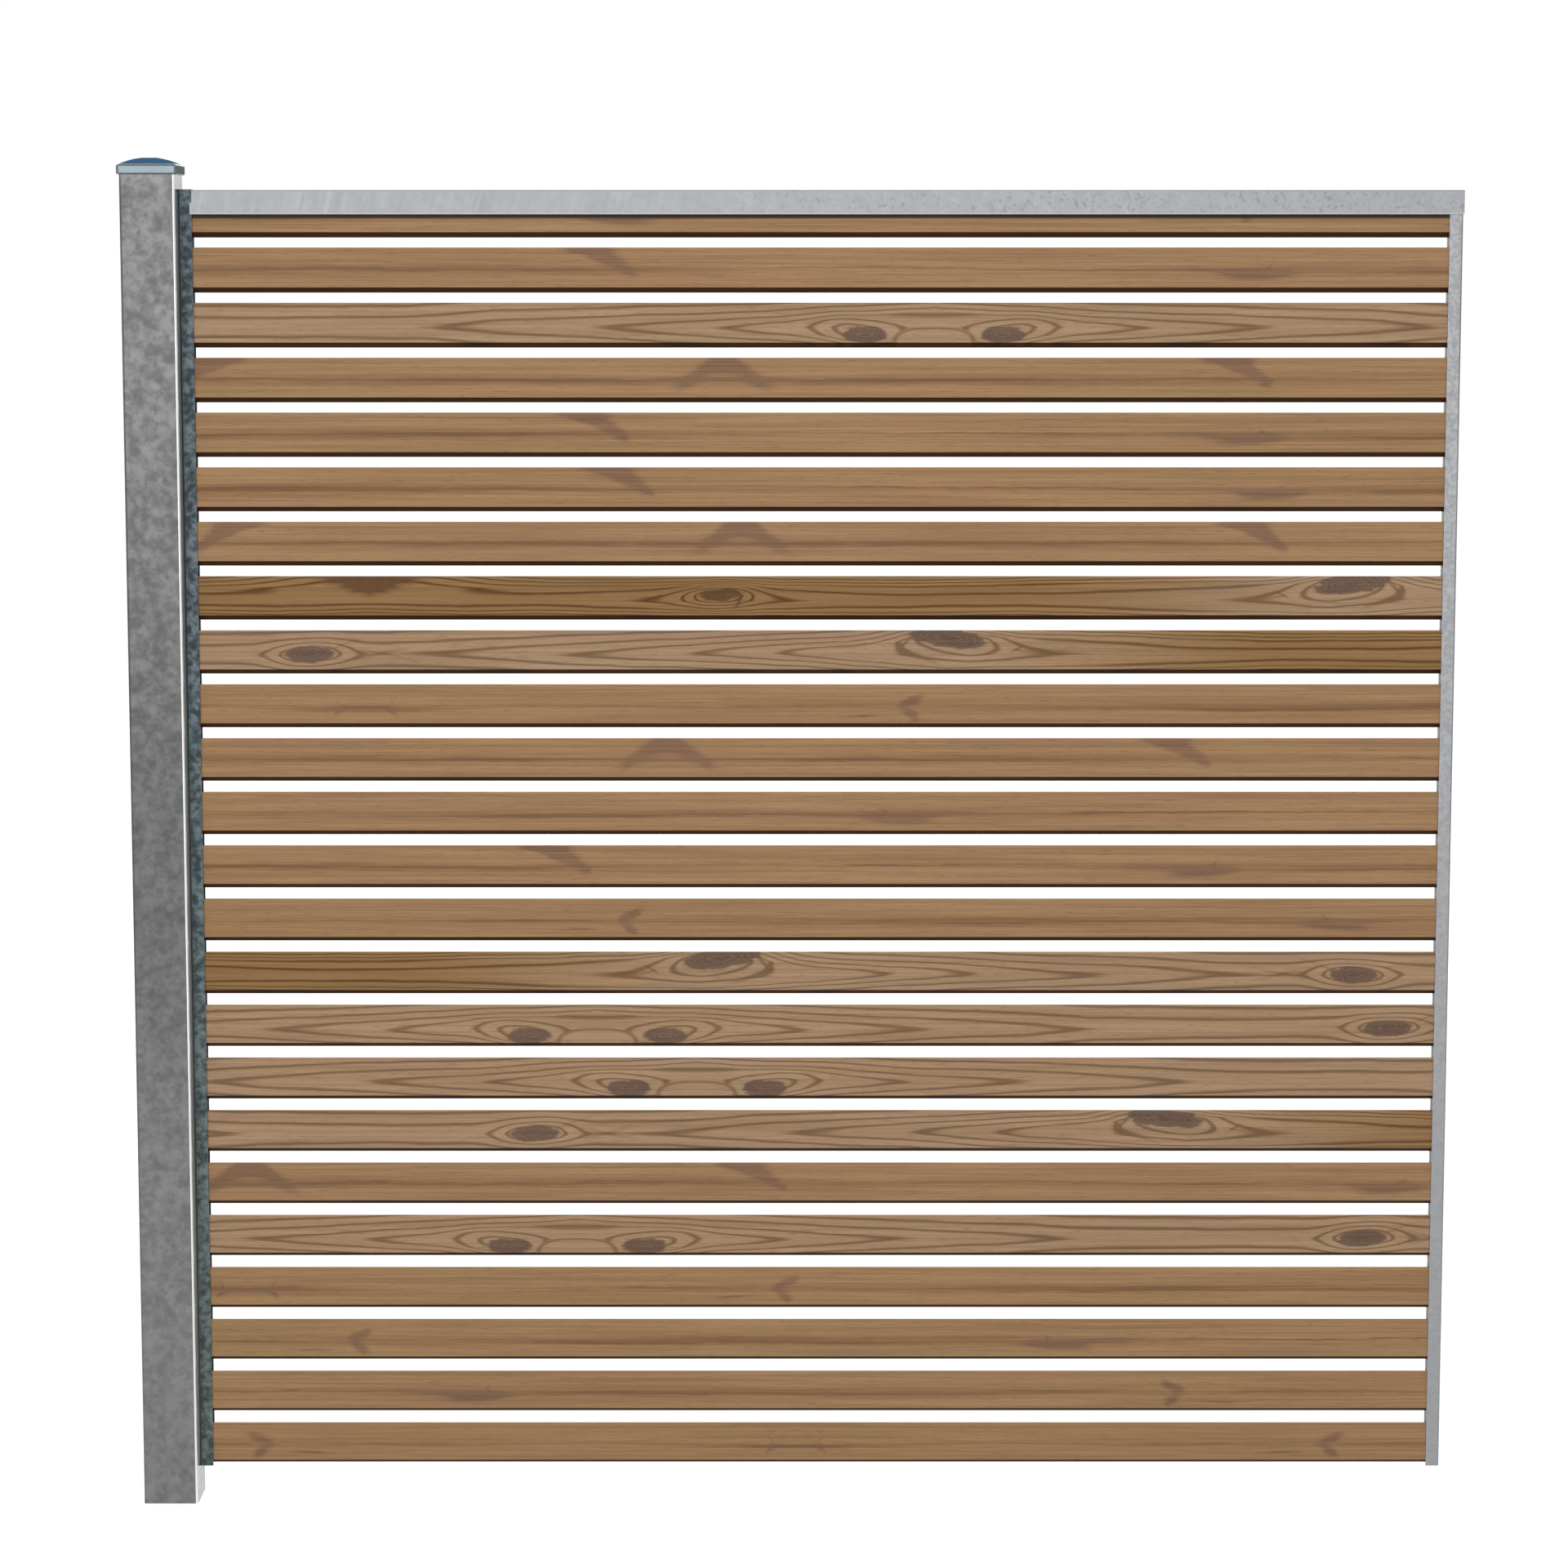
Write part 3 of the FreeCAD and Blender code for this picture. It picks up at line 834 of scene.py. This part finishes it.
def makeRailSteel():
    material, tree, shader, (x, y, z) = makeZinc("railSteel", railLook)
    place = coordinates(tree)
    # Faint slanting rolling marks, fainter towards the right
    slanted = joinXyz(tree, timesPlus(tree, z, railLook["markSlant"], x), y, z)
    streaks = noise(tree, slanted, railLook["markScale"], detail=3.0)
    worn = remap(tree, x, railLook["marksFrom"], railLook["pitsFrom"], *railLook["markStrength"])
    marks = times(tree, worn, remap(tree, streaks, *railLook["markRange"]))
    overlay(tree, shader, marks, railLook["mark"])
    shadows = times(tree, worn, remap(tree, streaks, *railLook["shadowRange"]))
    overlay(tree, shader, shadows, railLook["shadow"])
    # Small soft pits, in clusters towards the right end
    pits = remap(tree, noise(tree, place, railLook["pitScale"]), *railLook["pitRange"])
    clusters = noise(tree, place, railLook["clusterScale"], detail=1.0)
    clusters = remap(tree, clusters, *railLook["clusterRange"])
    reach = fade(tree, x, railLook["pitsFrom"], railLook["pitsSpread"], least=railLook["fewPits"])
    pitted = times(tree, times(tree, pits, clusters), reach)
    overlay(tree, shader, pitted, railLook["pit"])
    # Painted highlights: a lighter line along the foot, and a lighter bend at the top where it turns from
    # the light
    foot, top = [corner.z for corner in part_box("top_rail")]
    overlay(tree, shader, fade(tree, z, foot, railLook["footHighlightEdge"]), railLook["footHighlight"])
    overlay(tree, shader, fade(tree, z, top, railLook["topHighlightEdge"]), railLook["topHighlight"])
    return material


dress("post", makePostSteel())
dress("post_cap", makeCapSteel())
dress("left_channel", makeLeftChannelSteel())
dress("right_channel", makeRightChannelSteel())
dress("top_rail", makeRailSteel())
print("steel: post, cap, channels and rail")


# Moulded plastic for what sits in the channels, and bright zinc for the screws

plasticLook = {
    "colour": (0.018, 0.018, 0.020, 1.0),
    "grainColour": (0.030, 0.030, 0.033, 1.0),
    "grainScale": 1400.0,
    "roughness": 0.55,
    "reliefDepth": 0.0001,
    "reliefStrength": 0.4,
}

screwLook = {
    "dark": (0.42, 0.42, 0.43, 1.0),
    "light": (0.58, 0.58, 0.59, 1.0),
    "patch": 0.003,
    "roughness": (0.25, 0.35),
}


def makePlastic():
    material, tree, shader = newMaterial("spacerPlastic")
    grain = noise(tree, coordinates(tree), (plasticLook["grainScale"],) * 3)
    shade = mixColour(tree, grain, plasticLook["colour"], plasticLook["grainColour"])
    tree.links.new(shade, shader.inputs["Base Color"])
    shader.inputs["Roughness"].default_value = plasticLook["roughness"]
    bump(tree, shader, grain, plasticLook["reliefDepth"], plasticLook["reliefStrength"])
    return material


spacerPlastic = makePlastic()
for plasticNode in ("spacers_left", "spacers_right", "bottom_pads", "top_wedges"):
    dress(plasticNode, spacerPlastic)
screwZinc = makeZinc("screwZinc", screwLook)[0]
for screwNode in ("channel_screws", "rail_screws"):
    dress(screwNode, screwZinc)
print("plastic and screws")


# Screws and spacers, each modelled once and set out in rows by geometry nodes

def makeRowTree():
    group = bpy.data.node_groups.new("rowOfPieces", "GeometryNodeTree")
    sockets = [("Geometry", "NodeSocketGeometry"), ("Piece", "NodeSocketObject"), ("Count", "NodeSocketInt"),
               ("First", "NodeSocketVector"), ("Step", "NodeSocketVector"), ("Turn", "NodeSocketVector"),
               ("Spin", "NodeSocketFloat"), ("Finish", "NodeSocketMaterial")]
    for socket, kind in sockets:
        group.interface.new_socket(name=socket, in_out="INPUT", socket_type=kind)
    group.interface.new_socket(name="Geometry", in_out="OUTPUT", socket_type="NodeSocketGeometry")
    add, link = group.nodes.new, group.links.new
    given = add("NodeGroupInput").outputs
    line = add("GeometryNodeMeshLine")
    link(given["Count"], line.inputs["Count"])
    link(given["First"], line.inputs["Start Location"])
    link(given["Step"], line.inputs["Offset"])
    info = add("GeometryNodeObjectInfo")
    link(given["Piece"], info.inputs["Object"])
    place = add("GeometryNodeInstanceOnPoints")
    link(line.outputs["Mesh"], place.inputs["Points"])
    link(info.outputs["Geometry"], place.inputs["Instance"])
    link(given["Turn"], place.inputs["Rotation"])
    chance = add("FunctionNodeRandomValue")
    chance.inputs["Seed"].default_value = 7
    link(given["Spin"], chance.inputs[3])
    spin = add("ShaderNodeCombineXYZ")
    link(chance.outputs[1], spin.inputs["Z"])
    turn = add("GeometryNodeRotateInstances")
    link(place.outputs[0], turn.inputs["Instances"])
    link(spin.outputs[0], turn.inputs["Rotation"])
    real = add("GeometryNodeRealizeInstances")
    link(turn.outputs[0], real.inputs[0])
    finish = add("GeometryNodeSetMaterial")
    link(real.outputs[0], finish.inputs["Geometry"])
    link(given["Finish"], finish.inputs["Material"])
    link(finish.outputs[0], add("NodeGroupOutput").inputs["Geometry"])
    return group


rowTree = makeRowTree()


def setRow(name, master, replaced, slot, **values):
    # Runs the tree on a carrier, keeps the result as a plain mesh and drops the helpers
    carrier = intoScene(name + "Row", bpy.data.meshes.new(name + "Row"))
    modifier = carrier.modifiers.new("row", "NODES")
    modifier.node_group = rowTree
    values["Piece"] = master
    for item in rowTree.interface.items_tree:
        if item.in_out == "INPUT" and item.name in values:
            modifier[item.identifier] = values[item.name]
    seen = carrier.evaluated_get(bpy.context.evaluated_depsgraph_get())
    piece = intoScene(name, bpy.data.meshes.new_from_object(seen))
    carrier.modifiers.remove(modifier)
    bpy.data.objects.remove(carrier)
    bpy.data.objects.remove(master)
    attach(piece, "bay")
    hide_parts(replaced)
    return piece


def asObject(name, sculpt):
    mesh = bpy.data.meshes.new(name)
    sculpt.to_mesh(mesh)
    sculpt.free()
    return intoScene(name, mesh)


def turned(name, rings, points):
    # A closed turned piece: each ring has a radius, which may change with the angle, and a height
    sculpt = bmesh.new()
    angles = [2 * math.pi * i / points for i in range(points)]
    rows = []
    for radius, height in rings:
        around = [(radius(a) * math.cos(a), radius(a) * math.sin(a), height) for a in angles]
        rows.append([sculpt.verts.new(corner) for corner in around])
    for low, high in zip(rows, rows[1:]):
        for i in range(points):
            j = (i + 1) % points
            sculpt.faces.new((low[i], low[j], high[j], high[i]))
    sculpt.faces.new(list(reversed(rows[0])))
    sculpt.faces.new(rows[-1])
    for face in sculpt.faces:
        face.smooth = len(face.verts) == 4
    return asObject(name, sculpt)


millimetre = 0.001

# What both kinds of screw share, mostly as shares of the shank, the head and its height
screwShape = {
    "stepsPerTurn": 6,
    "points": 36,
    "crestSharpness": 3.2,
    "bluntTip": 0.04,
    "leastShank": 0.06,
    "neck": 0.80,
    "neckLength": 0.8 * millimetre,
    "rim": 0.97,
    "rimHeight": 0.12,
    "roundSteps": 5,
    "lobes": 6,
    "lobeDepth": 0.16,
    "recess": (0.44, 0.40, 0.36),
    "recessChamfer": 0.15 * millimetre,
    "recessFloor": 0.35,
    "recessMiddle": (0.05, 0.30),
    "spin": 3.1,
}


def makeScrew(name, size):
    # Origin under the head, which points up. A coarse thread runs to the point
    shape = screwShape

    def plain(radius):
        return lambda angle: radius

    def thread(height, cut):
        def radius(angle):
            phase = (height / size["pitch"] - angle / (2 * math.pi)) % 1.0
            groove = min(1.0, abs(phase - 0.5) * shape["crestSharpness"])
            return cut * (1.0 - size["threadDepth"] * groove)
        return radius

    def lobes(radius):
        return lambda angle: radius * (1.0 + shape["lobeDepth"] * math.cos(shape["lobes"] * angle))

    length, tip, shank = size["length"], size["tip"], size["shank"]
    rings = [(plain(shank * shape["bluntTip"]), -length)]
    steps = int(length / size["pitch"] * shape["stepsPerTurn"])
    for n in range(1, steps):
        height = -length + (length - millimetre) * n / steps
        taper = min(1.0, (height + length) / tip)
        rings.append((thread(height, shank * max(shape["leastShank"], taper)), height))
    head, top, bend = size["head"], size["headHeight"], size["headRound"]
    neck = plain(shank * shape["neck"])
    rings += [(neck, -shape["neckLength"]), (neck, 0.0), (plain(head * shape["rim"]), 0.0),
              (plain(head), shape["rimHeight"] * top)]
    for n in range(shape["roundSteps"] + 1):
        angle = math.pi / 2 * n / shape["roundSteps"]
        rings.append((plain(head - bend + bend * math.cos(angle)), top - bend + bend * math.sin(angle)))
    mouth, wall, floor = [lobes(head * share) for share in shape["recess"]]
    middle, middleHeight = shape["recessMiddle"]
    rings += [(mouth, top), (wall, top - shape["recessChamfer"]), (floor, top * shape["recessFloor"]),
              (plain(head * middle), top * middleHeight)]
    return turned(name, rings, shape["points"])


# Each row of screws runs along one axis and faces another, X 0, Y 1 and Z 2
channelScrew = {
    "shank": 0.0024, "length": 0.013, "tip": 0.004, "pitch": 0.0018, "threadDepth": 0.20,
    "head": 0.0055, "headHeight": 0.0018, "headRound": 0.0008,
    "count": 4, "runs": 2, "faces": 0, "turn": (0.0, math.radians(90), 0.0),
}
railScrew = {
    "shank": 0.0020, "length": 0.015, "tip": 0.004, "pitch": 0.0016, "threadDepth": 0.20,
    "head": 0.0040, "headHeight": 0.0026, "headRound": 0.0012,
    "count": 5, "runs": 0, "faces": 1, "turn": (math.radians(-90), 0.0, 0.0),
}
for screwNode, size in (("channel_screws", channelScrew), ("rail_screws", railScrew)):
    lowCorner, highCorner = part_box(screwNode)
    first = (lowCorner + highCorner) / 2
    first[size["runs"]] = lowCorner[size["runs"]] + size["head"]
    first[size["faces"]] = highCorner[size["faces"]] - size["headHeight"]
    step = Vector((0.0, 0.0, 0.0))
    reach = highCorner[size["runs"]] - lowCorner[size["runs"]] - 2 * size["head"]
    step[size["runs"]] = reach / (size["count"] - 1)
    master = makeScrew(screwNode + "Master", size)
    setRow(screwNode.replace("_", "") + "Threaded", master, screwNode, "screw_zinc", Count=size["count"],
           First=first, Step=step, Turn=size["turn"], Spin=screwShape["spin"], Finish=screwZinc)
print("screws: threaded, in rows")

spacerBlock = {
    "length": 0.012, "half": 0.0079, "height": 0.020, "pocketWall": 0.0022, "pocketDepth": 0.0045,
    "chamfer": 0.0006, "chamferSteps": 2, "chamferProfile": 0.6, "sharpAngle": 0.6,
}


def makeSpacer(name, inward):
    # A moulded block with slanted top and foot, and a pocket in its inner end
    size = spacerBlock
    sculpt = bmesh.new()
    corners = []
    for x in (0.0, inward * size["length"]):
        for y, up in ((-1, 0), (1, 0), (1, 1), (-1, 1)):
            edge = -slope * (y * size["half"] + timber["halfThickness"])
            corners.append(sculpt.verts.new((x, y * size["half"], edge - (1 - up) * size["height"])))
    for indices in ((0, 1, 2, 3), (4, 5, 6, 7), (0, 1, 5, 4), (1, 2, 6, 5), (2, 3, 7, 6), (3, 0, 4, 7)):
        sculpt.faces.new([corners[i] for i in indices])
    bmesh.ops.recalc_face_normals(sculpt, faces=sculpt.faces)
    inner = max(sculpt.faces, key=lambda face: inward * face.calc_center_median().x)
    bmesh.ops.inset_individual(sculpt, faces=[inner], thickness=size["pocketWall"], depth=0.0)
    moved = bmesh.ops.extrude_discrete_faces(sculpt, faces=[inner])["faces"]
    bmesh.ops.translate(sculpt, verts=moved[0].verts, vec=(-inward * size["pocketDepth"], 0, 0))
    sharp = [edge for edge in sculpt.edges
             if edge.is_manifold and edge.calc_face_angle(0.0) > size["sharpAngle"]]
    bmesh.ops.bevel(sculpt, geom=sharp, offset=size["chamfer"], segments=size["chamferSteps"],
                    profile=size["chamferProfile"], affect="EDGES")
    bmesh.ops.recalc_face_normals(sculpt, faces=sculpt.faces)
    return asObject(name, sculpt)


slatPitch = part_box("slat_01")[1].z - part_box("slat_02")[1].z
spacerCount = len(timber["cuts"]) - 1
for side, inward in (("left", 1), ("right", -1)):
    lowCorner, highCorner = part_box("spacers_" + side)
    webX = lowCorner.x if inward > 0 else highCorner.x
    topSpacer = highCorner.z + slope * (timber["halfThickness"] - spacerBlock["half"])
    setRow(side + "Spacers", makeSpacer(side + "SpacerMaster", inward), "spacers_" + side, "spacer_plastic",
           Count=spacerCount, First=Vector((webX, 0.0, topSpacer)), Step=Vector((0.0, 0.0, -slatPitch)),
           Turn=Vector((0.0, 0.0, 0.0)), Spin=0.0, Finish=spacerPlastic)
print("spacers: chamfered, in rows")


# Floor, sky, lamps and camera

studio = {
    "floorSize": 60.0,
    "floorGrey": (0.30, 0.30, 0.30, 1.0),
    "floorGlow": 0.87,
    "skyForLight": 0.50,
    "keyPower": 555.0,
    "keySize": (11.0, 6.5),
    "keyPlace": (-0.3, -8.5, 2.9),
    "backPower": 520.0,
    "backSize": (11.0, 5.0),
    "backPlace": (2.0, 8.0, 5.6),
    "target": (0.88, 0.0, 0.95),
}


def seenRays(tree):
    # 1 for the camera, and for what gloss and glass show
    path = tree.nodes.new("ShaderNodeLightPath")
    seen = calc(tree, "MAXIMUM", path.outputs["Is Camera Ray"], path.outputs["Is Glossy Ray"])
    return calc(tree, "MAXIMUM", seen, path.outputs["Is Transmission Ray"])


def makeFloor():
    half = studio["floorSize"] / 2
    corners = [(-half, -half, 0), (half, -half, 0), (half, half, 0), (-half, half, 0)]
    mesh = bpy.data.meshes.new("floor")
    mesh.from_pydata(corners, [], [(0, 1, 2, 3)])
    floor = intoScene("floor", mesh)
    material = bpy.data.materials.new("paleFloor")
    material.use_nodes = True
    tree = material.node_tree
    tree.nodes.clear()
    # Grey for the light that it throws back, and glowing for the eye
    grey = tree.nodes.new("ShaderNodeBsdfDiffuse")
    grey.inputs["Color"].default_value = studio["floorGrey"]
    glow = tree.nodes.new("ShaderNodeEmission")
    glow.inputs["Strength"].default_value = studio["floorGlow"]
    bright = tree.nodes.new("ShaderNodeAddShader")
    tree.links.new(grey.outputs[0], bright.inputs[0])
    tree.links.new(glow.outputs[0], bright.inputs[1])
    choose = tree.nodes.new("ShaderNodeMixShader")
    tree.links.new(seenRays(tree), choose.inputs[0])
    tree.links.new(grey.outputs[0], choose.inputs[1])
    tree.links.new(bright.outputs[0], choose.inputs[2])
    out = tree.nodes.new("ShaderNodeOutputMaterial")
    tree.links.new(choose.outputs[0], out.inputs["Surface"])
    mesh.materials.append(material)


def makeSky():
    world = bpy.data.worlds.new("studioSky")
    bpy.context.scene.world = world
    world.use_nodes = True
    tree = world.node_tree
    sky = tree.nodes["Background"]
    level = calc(tree, "MAXIMUM", seenRays(tree), studio["skyForLight"])
    tree.links.new(level, sky.inputs["Strength"])
    sky.inputs["Color"].default_value = (1.0, 1.0, 1.0, 1.0)


def makeLamp(name, power, size, place):
    light = bpy.data.lights.new(name, "AREA")
    light.shape = "RECTANGLE"
    light.size, light.size_y = size
    light.energy = power
    lamp = intoScene(name, light)
    lamp.location = place
    lamp.rotation_euler = (Vector(studio["target"]) - Vector(place)).to_track_quat("-Z", "Y").to_euler()


view = {
    "sensorWidth": 36.0,
    "lens": 94.44,
    "place": (0.8653, -5.679, 1.7184),
    "tilt": 82.98,
}


def makeCamera():
    camera = intoScene("camera", bpy.data.cameras.new("camera"))
    camera.data.sensor_width = view["sensorWidth"]
    camera.data.lens = view["lens"]
    camera.location = view["place"]
    camera.rotation_euler = (math.radians(view["tilt"]), 0.0, 0.0)
    bpy.context.scene.camera = camera


makeFloor()
makeSky()
makeLamp("keyLamp", studio["keyPower"], studio["keySize"], studio["keyPlace"])
makeLamp("backLamp", studio["backPower"], studio["backSize"], studio["backPlace"])
makeCamera()
bpy.context.scene.view_settings.view_transform = "Standard"
print("studio ready")
